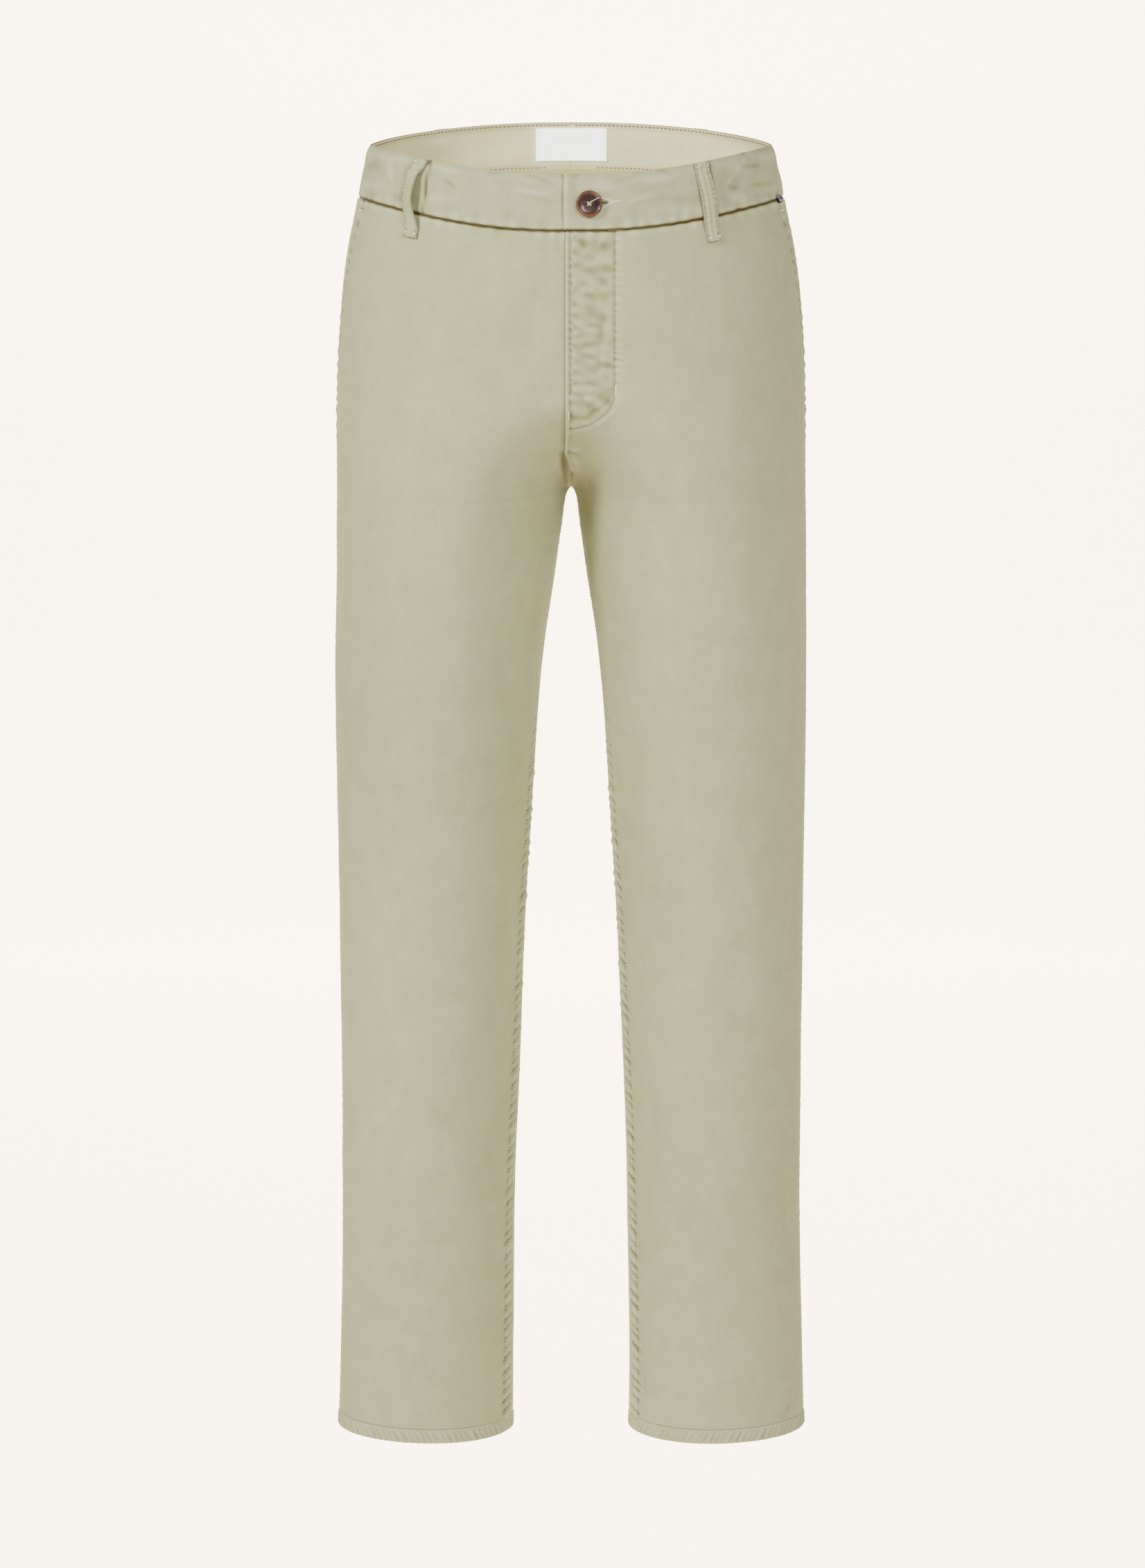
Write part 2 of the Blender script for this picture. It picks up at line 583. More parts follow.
def sewn_on(piece, slot, *nodes):
    """The piece moves with the garment, takes its finish from a slot and stands for its solids."""
    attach(piece, "root")
    if nodes:
        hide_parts(*nodes)
    return piece


def rounding(distance, radius):
    """How far a face falls back near a rounded edge."""
    t = clamp01(1 - distance / radius)
    return radius * (1 - np.sqrt(1 - t**2))


def smoothed(values, times):
    for _ in range(times):
        wide = np.pad(values, 1, mode="edge")
        values = (wide[:-2, 1:-1] + wide[2:, 1:-1] + wide[1:-1, :-2] + wide[1:-1, 2:]) / 4
    return values


def wall_faces(rows, columns, flip, ring):
    """Faces of a closed wall of two grids, the outer one first. A ring's ends are joined."""
    def at(layer, row, col):
        return layer * rows * columns + row * columns + col % columns

    last = columns if ring else columns - 1
    r, c = (a.ravel() for a in np.meshgrid(np.arange(rows - 1), np.arange(last), indexing="ij"))
    quads = [
        (at(0, r, c), at(0, r + 1, c), at(0, r + 1, c + 1), at(0, r, c + 1)),
        (at(1, r, c), at(1, r, c + 1), at(1, r + 1, c + 1), at(1, r + 1, c)),
    ]
    r, c, end, side = np.arange(rows - 1), np.arange(last), rows - 1, columns - 1
    quads += [
        (at(0, 0, c), at(0, 0, c + 1), at(1, 0, c + 1), at(1, 0, c)),
        (at(0, end, c), at(1, end, c), at(1, end, c + 1), at(0, end, c + 1)),
    ]
    if not ring:
        quads += [
            (at(0, r, 0), at(1, r, 0), at(1, r + 1, 0), at(0, r + 1, 0)),
            (at(0, r, side), at(0, r + 1, side), at(1, r + 1, side), at(1, r, side)),
        ]
    faces = np.concatenate([np.stack(quad, axis=1) for quad in quads])
    return faces[:, ::-1] if flip else faces


# The height of relief that changes the rise by 1. Plain cloth has a rise of 0.5.
RISE_UNIT = 0.0040


def shell(name, face, detail, base, finish, thick=CLOTH, tint=0.0, flush=None):
    """A thin closed shell of cloth. The detail lies on a base, in metres outward. Its edges are rounded,
    but for a flush one, which meets its neighbour in one surface."""
    outer = base + detail
    radius = 0.5 * np.min(thick)
    edges = {"top": face.from_top, "bottom": face.from_bottom}
    if not face.ring:
        edges.update(start=face.from_start, end=face.from_end)
    fall = np.minimum(sum(rounding(d, radius) for edge, d in edges.items() if edge != flush), radius)
    rise = clamp01((detail - smoothed(detail, 40)) / RISE_UNIT + 0.5 + tint)
    used = slice(0, -1) if face.ring else slice(None)
    skins = [face.points + face.out * o[..., None] for o in (outer - fall, outer - thick)]
    points = np.concatenate([skin[:, used].reshape(-1, 3) for skin in skins])
    uv = np.stack([face.from_start, face.from_bottom], axis=-1)[:, used].reshape(-1, 2)
    rows, columns = face.z[:, used].shape
    faces = wall_faces(rows, columns, face.side == RIGHT, face.ring)
    return new_object(name, points, faces, finish, np.tile(uv, (2, 1)), np.tile(rise[:, used].ravel(), 2))


def declare(face):
    """The cloth as it was cut: its widest row, its longest column and its area on the bare form."""
    flat, area = face.cut()


class Sewn:
    """A finished skin of cloth that thread is laid on, by level and by distance along that level."""

    def __init__(self, face, outer, distance, facing=1):
        self.levels = face.levels
        self.skin = face.points + face.out * outer[..., None]
        self.out = facing * face.out
        self.distance = distance

    def at(self, z, distance):
        row = np.interp(-z, -self.levels, np.arange(len(self.levels)))
        low = int(min(row, len(self.levels) - 2))
        found = []
        for r in (low, low + 1):
            order = np.argsort(self.distance[r])
            col = np.interp(distance, self.distance[r][order], order)
            c = int(min(col, self.skin.shape[1] - 2))
            share = col - c
            grids = (self.skin, self.out)
            found.append([(1 - share) * grid[r, c] + share * grid[r, c + 1] for grid in grids])
        point, out = ((1 - row + low) * a + (row - low) * b for a, b in zip(*found))
        return point, out / np.linalg.norm(out)


# Rows of stitching: from stitch to stitch, the share of that which is thread, and the thread's radius.
Stitch = namedtuple("Stitch", "pitch share radius")
FLY_ROW = Stitch(0.0025, 0.60, 0.00042)
POCKET_ROW = Stitch(0.0026, 0.68, 0.00033)
INSEAM_ROW = Stitch(0.0031, 0.66, 0.00030)
HEM_ROW = Stitch(0.0033, 0.72, 0.00026)
FACING_ROW = Stitch(0.0034, 0.66, 0.00042)
LABEL_ROW = Stitch(0.0022, 0.70, 0.00018)
LOOP_ROW = Stitch(0.0028, 0.72, 0.00022)

# A stitch from its start to its end: how high its thread lies, and how thick it is, in radii.
Ring = namedtuple("Ring", "place height width")
STITCH_RINGS = [
    Ring(0, -0.4, 0.6), Ring(0.18, 0.5, 0.95), Ring(0.5, 0.7, 1), Ring(0.82, 0.5, 0.95), Ring(1, -0.4, 0.6),
]
THREAD_SIDES = 5


class Thread:
    """Gathers the stitches of one piece of sewing and makes them into one mesh."""

    def __init__(self, radius):
        self.radius = radius
        self.points = []
        self.faces = []
        self.count = 0

    def add(self, starts, ends, outs, radius=None):
        """Rounded threads from each start to its end, half sunk in the cloth that faces outs."""
        starts, ends, outs = (np.asarray(a, float).reshape(-1, 3) for a in (starts, ends, outs))
        radius = radius or self.radius
        along = ends - starts
        side = np.cross(along, outs)
        side /= np.linalg.norm(side, axis=1, keepdims=True)
        rings = []
        for ring in STITCH_RINGS:
            middle = starts + ring.place * along + ring.height * radius * outs
            for k in range(THREAD_SIDES):
                angle = 2 * math.pi * k / THREAD_SIDES
                spoke = math.cos(angle) * side + math.sin(angle) * outs
                rings.append(middle + radius * ring.width * spoke)
        points = np.stack(rings, axis=1)
        last = (len(STITCH_RINGS) - 1) * THREAD_SIDES
        one = [list(range(THREAD_SIDES))[::-1], list(range(last, last + THREAD_SIDES))]
        for ring, k in itertools.product(range(len(STITCH_RINGS) - 1), range(THREAD_SIDES)):
            a, b = ring * THREAD_SIDES + k, ring * THREAD_SIDES + (k + 1) % THREAD_SIDES
            one.append([a, b, b + THREAD_SIDES, a + THREAD_SIDES])
        for i in range(len(points)):
            begin = self.count + i * points.shape[1]
            self.faces += [[begin + k for k in face] for face in one]
        self.points.append(points.reshape(-1, 3))
        self.count += points.shape[0] * points.shape[1]

    def row(self, sewn, path, stitch):
        """A row of stitches along a path of (level, distance) on the cloth."""
        points, outs = (np.array(part) for part in zip(*[sewn.at(z, d) for z, d in path]))
        walked = np.concatenate([[0], np.cumsum(np.linalg.norm(np.diff(points, axis=0), axis=1))])
        count = max(2, round(walked[-1] / stitch.pitch))
        begin, step = np.linspace(0, walked[-1], count, endpoint=False, retstep=True)

        def along(at, values):
            return np.stack([np.interp(at, walked, values[:, k]) for k in range(3)], axis=1)

        ends = along(begin + stitch.share * step, points)
        self.add(along(begin, points), ends, along(begin + step / 2, outs))

    def bar(self, sewn, start, end, width, pitch=0.0004):
        """A bar tack: close threads side by side from start to end, each (level, distance)."""
        (a, out), (b, _) = sewn.at(*start), sewn.at(*end)
        run = (b - a) / np.linalg.norm(b - a)
        over = np.cross(out, run) * width / 2
        count = max(3, round(np.linalg.norm(b - a) / pitch))
        middles = a + np.linspace(0, 1, count)[:, None] * (b - a) + 0.6 * self.radius * out
        lean = 0.12 * width * run
        self.add(middles - over - lean, middles + over + lean, np.tile(out, (count, 1)))

    def make(self, name, finish, slot="cloth"):
        return sewn_on(new_object(name, np.concatenate(self.points), self.faces, finish), slot)


def down(top, bottom, distance, count):
    """A path down the cloth, at one distance."""
    return [(z, distance) for z in np.linspace(top, bottom, count)]


def across(z, start, end, count):
    """A path along one level of the cloth."""
    return [(z, d) for d in np.linspace(start, end, count)]


# Finishes. A Value wraps a socket, and arithmetic on it adds Math nodes.
class Value:
    def __init__(self, finish, socket):
        self.finish = finish
        self.socket = socket

    def math(self, operation, first, second):
        return self.finish.node("ShaderNodeMath", {"operation": operation}, {0: first, 1: second})

    def __add__(self, other):
        return self.math("ADD", self, other)

    def __sub__(self, other):
        return self.math("SUBTRACT", self, other)

    def __rsub__(self, other):
        return self.math("SUBTRACT", other, self)

    def __mul__(self, other):
        return self.math("MULTIPLY", self, other)

    __radd__ = __add__
    __rmul__ = __mul__


class Finish:
    """A material on one Principled shader. Constants go straight on the shader's sockets."""

    def __init__(self, name, **constants):
        self.material = bpy.data.materials.new(name)
        self.material.use_nodes = True
        self.tree = self.material.node_tree
        self.shader = self.tree.nodes["Principled BSDF"]
        for socket, value in constants.items():
            self.put(self.shader.inputs[socket.replace("_", " ")], value)

    def node(self, kind, settings=None, inputs=None, output=0):
        made = self.tree.nodes.new(kind)
        for name, value in (settings or {}).items():
            setattr(made, name, value)
        for socket, value in (inputs or {}).items():
            self.put(made.inputs[socket], value)
        return Value(self, made.outputs[output])

    def put(self, socket, value):
        if isinstance(value, Value):
            self.tree.links.new(value.socket, socket)
        elif socket.type == "RGBA":
            socket.default_value = (*value, 1)
        else:
            socket.default_value = value

    def laid(self, across_size, down_size, turn=0.0):
        """The cloth's own coordinates, in repeats of those sizes, turned by an angle first."""
        where = self.node("ShaderNodeUVMap", {"uv_map": "UVMap"})
        turned = self.node("ShaderNodeMapping", {}, {"Vector": where, "Rotation": (0, 0, turn)})
        scale = (1 / across_size, 1 / down_size, 1)
        return self.node("ShaderNodeMapping", {}, {"Vector": turned, "Scale": scale})

    def place(self, *size):
        """Places on the object, in repeats of that size."""
        where = self.node("ShaderNodeTexCoord", output=3)
        return self.node("ShaderNodeMapping", {}, {"Vector": where, "Scale": tuple(1 / s for s in size)})

    def noise(self, vector, detail=2.0, roughness=0.5):
        return self.node("ShaderNodeTexNoise", {}, {
            "Vector": vector, "Scale": 1.0, "Detail": detail, "Roughness": roughness})

    def ribs(self, vector):
        """Even ribs across the first coordinate, one to a repeat, from 0 to 1."""
        repeat = {"Vector": vector, "Scale": WAVE_REPEAT}
        return self.node("ShaderNodeTexWave", {"bands_direction": "X"}, repeat)

    def mix(self, mask, low, high):
        return self.node("ShaderNodeMix", {"data_type": "RGBA"}, {0: mask, 6: low, 7: high}, output=2)

    def span(self, value, start, end, top=1.0):
        """From 0 where the value is at start, to top where it is at end."""
        return self.node("ShaderNodeMapRange", {}, {
            "Value": value, "From Min": start, "From Max": end, "To Min": 0.0, "To Max": top})

    def surface(self, colour, roughness, height, depth):
        self.put(self.shader.inputs["Base Color"], colour)
        self.put(self.shader.inputs["Roughness"], roughness)
        bump = self.node("ShaderNodeBump", {}, {"Height": height, "Distance": depth})
        self.put(self.shader.inputs["Normal"], bump)
        return self.material


# The scale at which a wave texture repeats once in each unit of its coordinates.
WAVE_REPEAT = math.pi / 10


def shown(red, green, blue):
    """A colour given as it shows, 0 to 255, as the shader takes it."""
    part = np.array([red, green, blue]) / 255
    return tuple(float(c) for c in np.where(part <= 0.04045, part / 12.92, ((part + 0.055) / 1.055) ** 2.4))


# Colours of a cloth: its paler and darker mottling, its raised places and its sunken ones.
Tones = namedtuple("Tones", "light dark worn sunk")
TWILL = Tones(shown(164, 165, 127), shown(145, 145, 106), shown(180, 180, 149), shown(87, 77, 46))
BAND_TONES = Tones(shown(163, 163, 128), shown(142, 141, 107), shown(182, 182, 152), shown(84, 73, 44))
FACING_TONES = Tones(shown(234, 227, 176), shown(218, 209, 156), shown(244, 239, 198), shown(172, 158, 108))
TWILL_LEAN = math.radians(28)


def twill(name, tones, rib=0.0006, depth=0.00005):
    """Smooth cotton twill: fine steep ribs, slubs in the yarn, a faint mottling and paler raised places."""
    f = Finish(name, Sheen_Weight=0.05, Sheen_Roughness=0.5, Specular_IOR_Level=0.12)
    ribs = f.ribs(f.laid(rib, 1.0, TWILL_LEAN))
    grain = f.noise(f.place(0.0012, 0.0012, 0.0012), 2.0)
    slubs = f.noise(f.laid(0.0010, 0.011), 2.0)
    mottle = f.noise(f.place(0.018, 0.018, 0.026), 4.0, 0.65)
    wash = f.noise(f.place(0.13, 0.13, 0.22), 2.0)
    tone = 1.0 * mottle + 0.5 * wash + 0.6 * grain + 0.5 * slubs - 0.80
    rise = f.node("ShaderNodeAttribute", {"attribute_name": "rise"}, output=2)
    raised = f.span(rise, 0.53, 0.70, 0.45)
    fallen = f.span(rise, 0.46, 0.0, 0.95)
    colour = f.mix(fallen, f.mix(raised, f.mix(tone, tones.dark, tones.light), tones.worn), tones.sunk)
    return f.surface(colour, 0.80 + 0.14 * grain, 0.5 * ribs + 0.5 * grain + 0.3 * slubs, depth)


def thread_finish(name, light, dark):
    """Spun thread, with its plies a little darker between them."""
    f = Finish(name, Sheen_Weight=0.3, Sheen_Roughness=0.3, Specular_IOR_Level=0.4)
    plies = f.noise(f.place(0.0006, 0.0006, 0.0006), 2.0)
    return f.surface(f.mix(plies, dark, light), 0.55 + 0.2 * plies, plies, 0.00005)


def ribbon(name, light, dark, rib=0.0007, gloss=0.45, glow=0.0):
    """Woven ribbon with fine cross ribs. Bleached ribbon glows a little, as its brightener does."""
    f = Finish(name, Sheen_Weight=0.3, Sheen_Roughness=0.3, Specular_IOR_Level=0.4,
               Emission_Color=light, Emission_Strength=glow)
    ribs = f.ribs(f.laid(rib, 1.0, RIGHT_ANGLE))
    grain = f.noise(f.place(0.0009, 0.0009, 0.0009), 2.0)
    return f.surface(f.mix(0.5 * ribs + 0.5 * grain, dark, light), gloss + 0.2 * grain, ribs, 0.00006)


def horn(name):
    """Brown horn: a dark clouded face and an amber rim under a polish."""
    f = Finish(name, Coat_Weight=0.25, Coat_Roughness=0.10, Specular_IOR_Level=0.25)
    clouds = f.noise(f.place(0.0060, 0.0060, 0.0110), 4.0, 0.6)
    out = f.node("ShaderNodeSeparateXYZ", {}, {0: f.node("ShaderNodeUVMap", {"uv_map": "UVMap"})})
    body = f.mix(f.span(clouds, 0.35, 0.65), shown(34, 18, 12), shown(54, 31, 20))
    rim = f.mix(f.span(clouds, 0.30, 0.70), shown(62, 35, 18), shown(104, 63, 28))
    colour = f.mix(f.span(out, 0.74, 0.86), body, rim)
    fine = f.noise(f.place(0.0007, 0.0007, 0.0007), 2.0)
    return f.surface(colour, 0.26 + 0.14 * clouds, fine, 0.00002)


CLOTH_TWILL = twill("sage khaki twill", TWILL)
BAND_TWILL = twill("waistband twill", BAND_TONES)
FACING_COTTON = twill("pale facing cotton", FACING_TONES, 0.0008, 0.00004)
CLOTH_THREAD = thread_finish("khaki sewing thread", shown(216, 213, 190), shown(184, 180, 152))
FACING_THREAD = thread_finish("dark khaki facing thread", shown(132, 121, 86), shown(98, 88, 58))
PALE_THREAD = thread_finish("cream sewing thread", shown(236, 231, 212), shown(204, 197, 172))
WHITE_RIBBON = ribbon("bare white label ribbon", shown(250, 250, 249), shown(236, 236, 235), glow=2.2)
NAVY_RIBBON = ribbon("navy ribbon", shown(44, 48, 60), shown(24, 27, 36))
RIBBON_LINING = ribbon("pale ribbon lining", shown(226, 226, 222), shown(196, 196, 190))
BUTTON_HORN = horn("brown horn resin")
SLIT_SHADE = thread_finish("shaded buttonhole cloth", shown(84, 74, 54), shown(56, 48, 34))


def build_panels():
    """The fronts and backs. Returns the fronts' skins, by distance from the middle and from the pocket."""
    sewn = {}
    for side, word in ((LEFT, "left"), (RIGHT, "right")):
        face, detail = front_panel(side)
        base = soft_cloth(face.points)
        tint = seam_shade(face.from_top) + pocket_shade(face) + felled_shade(face, FRONT_SEEDS[side] + 1)
        if side == LEFT:
            tint = tint - FLY_SHADE * inside_fly(face)
        piece = shell(f"twill_front_{word}", face, detail, base, CLOTH_TWILL, CLOTH, tint, "bottom")
        sewn_on(piece, "cloth", f"front_{word}", *(["fly_lap"] if side == LEFT else []))
        declare(face)
        sewn[f"front_{word}"] = Sewn(face, base + detail, face.from_middle)
        sewn[f"pocket_{word}"] = Sewn(face, base + detail, face.from_end)
        face, detail = back_panel(side)
        base = soft_cloth(face.points)
        tint = seam_shade(face.from_top)
        piece = shell(f"twill_back_{word}", face, detail, base, CLOTH_TWILL, CLOTH, tint, "bottom")
        sewn_on(piece, "cloth", f"back_{word}")
        declare(face)
    return sewn


def pocket_facing(side, word):
    """The hip piece in the slanted pocket mouth. It starts under the front's edge."""
    under = 0.007

    def places(z):
        whole = front_length(z)
        start = min(pocket_edge(z) * whole - under, whole - 0.009)
        return spread(start, whole - INSET, 1, 8, 3, 0.0012) / whole

    levels = FRONT_LEVELS[FRONT_LEVELS >= POCKET.end]
    face = Face(levels, places, side)
    out = ease((face.from_start - under) / 0.014)
    sunk = -0.0016 + 0.0016 * out
    detail = sunk + under_band(face, 71) * out + seam_edge(face.from_end, face.z, 72)
    piece = shell(f"twill_pocket_{word}", face, detail, soft_cloth(face.points), CLOTH_TWILL)
    sewn_on(piece, "cloth", f"pocket_facing_{word}")
    declare(face)


def round_to(z, distance):
    """The place at a distance round from the centre front, past the side too."""
    front, back = front_length(z), back_length(z)
    return np.where(distance <= front, distance / front, 1 + (distance - front) / back)


# The hem's turn-up: its two layers, its columns, the slant and pitch of its roping and its row's level.
HemTurn = namedtuple("HemTurn", "thick columns slant pitch row")
HEM_TURN = HemTurn(0.0020, 301, 0.55, 0.0056, PANEL_END - 0.0008)


def hem(side, word):
    """The turned-up hem: two layers with the stitching at their top, roped all round by it."""
    def places(z):
        return np.linspace(0, 2, HEM_TURN.columns)

    top = PANEL_END - 0.0002
    levels = graded((top, 0.0004), (PANEL_END - 0.002, 0.0008), (HEM.z + 0.002, 0.0009), (HEM.z, 0.0003))
    face = Face(levels, places, side, ring=True)
    drop = face.from_top
    rope = puckers(face.from_start + HEM_TURN.slant * drop, HEM_TURN.pitch, 81 + side)
    swell = ease(drop / 0.004) * (0.6 + 0.4 * ease(face.from_bottom / 0.004))
    near_seam = np.minimum(face.from_middle, face.from_side)
    detail = 0.0003 * ease(drop / 0.003) - 0.0003 * hill(drop, 0.0014) + 0.00075 * rope * swell
    detail += 0.0006 * hill(near_seam, 0.006) - 0.0009 * hill(near_seam, 0.0010)
    base = soft_cloth(face.points)
    piece = shell(f"hem_{word}", face, detail, base, CLOTH_TWILL, HEM_TURN.thick, flush="top")
    sewn_on(piece, "cloth")
    declare(face)
    row = Thread(HEM_ROW.radius)
    sewn = Sewn(face, base + detail, face.from_start)
    row.row(sewn, across(HEM_TURN.row, 0, face.from_start[0, -1], 400), HEM_ROW)
    row.make(f"hem_stitching_{word}", CLOTH_THREAD)


def band_waves(face):
    """The waistband's broad waves, smaller towards its folded top."""
    return 0.0010 * uneven(face.points, (0.028, 0.028, 0.015), 91) * (0.3 + 0.7 * ease(-face.z / 0.012))


def band_dimples(face):
    """Folds along the waistband and uneven dimples, where its layers have shrunk apart."""
    folds = 0.0010 * uneven(face.points, (0.032, 0.032, 0.008), 96)
    dimples = 0.0006 * uneven(face.points, (0.012, 0.012, 0.010), 92)
    in_front = 0.35 + 0.65 * ease(face.from_side / 0.030)
    return (folds + dimples) * in_front * (0.25 + 0.75 * ease(-face.z / 0.010))


# The gap that shows under a front belt loop: how dark it is, its distance from the edge and its width.
LoopGap = namedtuple("LoopGap", "dark aside width")
LOOP_GAP = LoopGap(0.70, 0.0009, 0.0012)


def loop_shade(face, side):
    """The dark gap under each front belt loop, along its edge on the wearer's left."""
    total = np.zeros(face.z.shape)
    front = np.array([front_length(z) for z in face.levels])[:, None]
    for loop in LOOPS:
        if loop.side == side and loop.along and loop.along < front[0, 0]:
            aside = (face.v - round_to(LOOP.top, loop.along)) * front - loop.lean * (LOOP.top - face.z)
            total -= LOOP_GAP.dark * hill(side * aside - LOOP.width / 2 - LOOP_GAP.aside, LOOP_GAP.width)
    return total * ease((face.z - LOOP.bottom) / 0.002 + 0.5)


def waistband(side, word):
    """Half of the waistband. The left half laps over the right one at the fly and steps out there."""
    start = -BAND.lap if side == LEFT else -BAND.underlap

    def places(z):
        whole = front_length(z) + back_length(z)
        return round_to(z, spread(start, whole - INSET, 100, 110, 6, 0.0014))

    levels = graded((0, 0.0003), (-0.003, 0.0010), (-0.037, 0.0012), (-BAND.depth, 0.0003))
    face = Face(levels, places, side)
    s = face.from_start + start
    out = 0
    if side == LEFT:
        out = BAND.step * (1 - ease((s - BAND.step_full) / (BAND.step_gone - BAND.step_full)))
    low = face.from_bottom
    detail = -0.0010 * hill(low, 0.0012) + 0.00045 * hill(low - 0.0034, 0.0024)
    detail += 0.00070 * puckers(s, 0.0130, 93) * np.exp(-low / 0.008)
    detail -= 0.0014 * (1 - ease(face.from_top / 0.006))
    detail += band_dimples(face) + creases(face, BAND_CREASES, -1)
    detail += seam_edge(face.from_end, face.z, 94, 0.0005)
    tint = seam_shade(low)
    if side == LEFT:
        detail += 0.0010 * hill(face.from_start - 0.0024, 0.0022)
        detail -= 0.0006 * hill(face.from_start - 0.0095, 0.0030)
    else:
        tint = tint + 0.25 * seam_shade(s - BAND.lap - 0.0006)
    base = out + band_waves(face)
    thick = np.maximum(BAND.wall + detail, 0.0005)
    tint = tint + loop_shade(face, side)
    piece = shell(f"twill_waistband_{word}", face, detail, base, BAND_TWILL, thick, tint)
    sewn_on(piece, "cloth", f"waistband_{word}")
    declare(face)
    return Sewn(face, base + detail, s)


def waist_facing(side, word):
    """Pale facing inside the band, with a row of stitching along its top and another along its foot."""
    start = FACING.start if side == LEFT else -FACING.underlap
    under = -BAND.wall - SEAM_GAP

    def places(z):
        whole = front_length(z) + back_length(z)
        return round_to(z, spread(start, whole - INSET, 6, 120, 6, 0.0014))

    foot = -BAND.depth - 0.0025
    levels = graded((FACING.top, 0.0004), (-0.004, 0.0010), (-0.034, 0.0012), (foot, 0.0004))
    face = Face(levels, places, side)
    top_row, foot_row = face.from_top - FACING.row, face.from_bottom - FACING.foot_row
    detail = 0.0004 * hill(top_row, 0.0010) + 0.0004 * hill(foot_row, 0.0010)
    beside_rows = hill(top_row, 0.004) + hill(foot_row, 0.004)
    detail += 0.00015 * puckers(face.from_start, 0.0090, 95) * beside_rows
    detail += 0.0004 * hill(face.from_end, 0.0012)
    base = under - 0.0014 * (1 - ease(face.from_top / 0.006)) + band_waves(face)
    base -= 0.0022 * (1 - ease(face.from_bottom / 0.006))
    shade = -0.5 * (1 - ease((face.from_bottom - 0.004) / 0.004))
    piece = shell(f"cotton_facing_{word}", face, detail, base, FACING_COTTON, FACING.wall, shade)
    sewn_on(piece, "facing", f"waist_facing_{word}")
    declare(face)
    inside = Sewn(face, base + detail - FACING.wall, face.from_start, -1)
    rows = Thread(FACING_ROW.radius)
    whole = face.from_start[0, -1] - 0.001
    for level in (FACING.top - FACING.row, foot + FACING.foot_row):
        rows.row(inside, across(level, 0.002, whole, 500), FACING_ROW)
    rows.make(f"facing_stitching_{word}", FACING_THREAD, "facing")


Label = namedtuple("Label", "width top bottom wall")
LABEL = Label(0.059, 0.005, 0.032, 0.0006)


def woven_label():
    """Bare white ribbon at the centre back, folded under at its two ends and sewn down there."""
    def places(z):
        half = LABEL.width / 2 / back_length(z)
        return 2 + np.linspace(-half, half, 61)

    face = Face(graded((-LABEL.top, 0.0004), (-LABEL.top - 0.002, 0.0010), (-LABEL.bottom, 0.0004)), places)
    ends = np.minimum(face.from_start, face.from_end)
    detail = -0.0003 * ease(1 - ends / 0.0045) + 0.00025 * hill(ends - 0.0022, 0.0007)
    base = -BAND.wall - FACING.wall - 2 * SEAM_GAP - 0.0005 + band_waves(face)
    piece = shell("bare_label", face, detail, base, WHITE_RIBBON, LABEL.wall)
    sewn_on(piece, "label", "woven_label")
    declare(face)
    inside = Sewn(face, base + detail - LABEL.wall, face.from_start, -1)
    ends_sewn = Thread(LABEL_ROW.radius)
    width = float(face.from_start[0, -1])
    for distance in (0.0022, width - 0.0022):
        path = down(-LABEL.top - 0.0008, -LABEL.bottom + 0.0008, distance, 40)
        ends_sewn.row(inside, path, LABEL_ROW)
    ends_sewn.make("label_stitching", PALE_THREAD, "label")


# Belt loops: "along" is the distance round the waist from the centre front, None at the centre back.
# One has twisted: its middle swings towards the side and its other edge tips away from the band.
Loop = namedtuple("Loop", "name side along lean lift tip swing")
LOOPS = [
    Loop("belt_loop_front_left", LEFT, 0.104, 0.056, 0.0032, 0, 0),
    Loop("belt_loop_front_right", RIGHT, 0.122, 0, 0.0048, 1.2, 0.0060),
    Loop("belt_loop_back_left", LEFT, 0.318, 0, 0.0034, 0, 0),
    Loop("belt_loop_back_right", RIGHT, 0.318, 0, 0.0034, 0, 0),
    Loop("belt_loop_centre_back", LEFT, None, 0, 0.0034, 0, 0),
]
LoopCut = namedtuple("LoopCut", "width wall top bottom fold fold_length row tack")
LOOP = LoopCut(0.0125, 0.0016, -0.0005, -0.0595, 0.0009, 0.006, 0.0019, 0.0030)


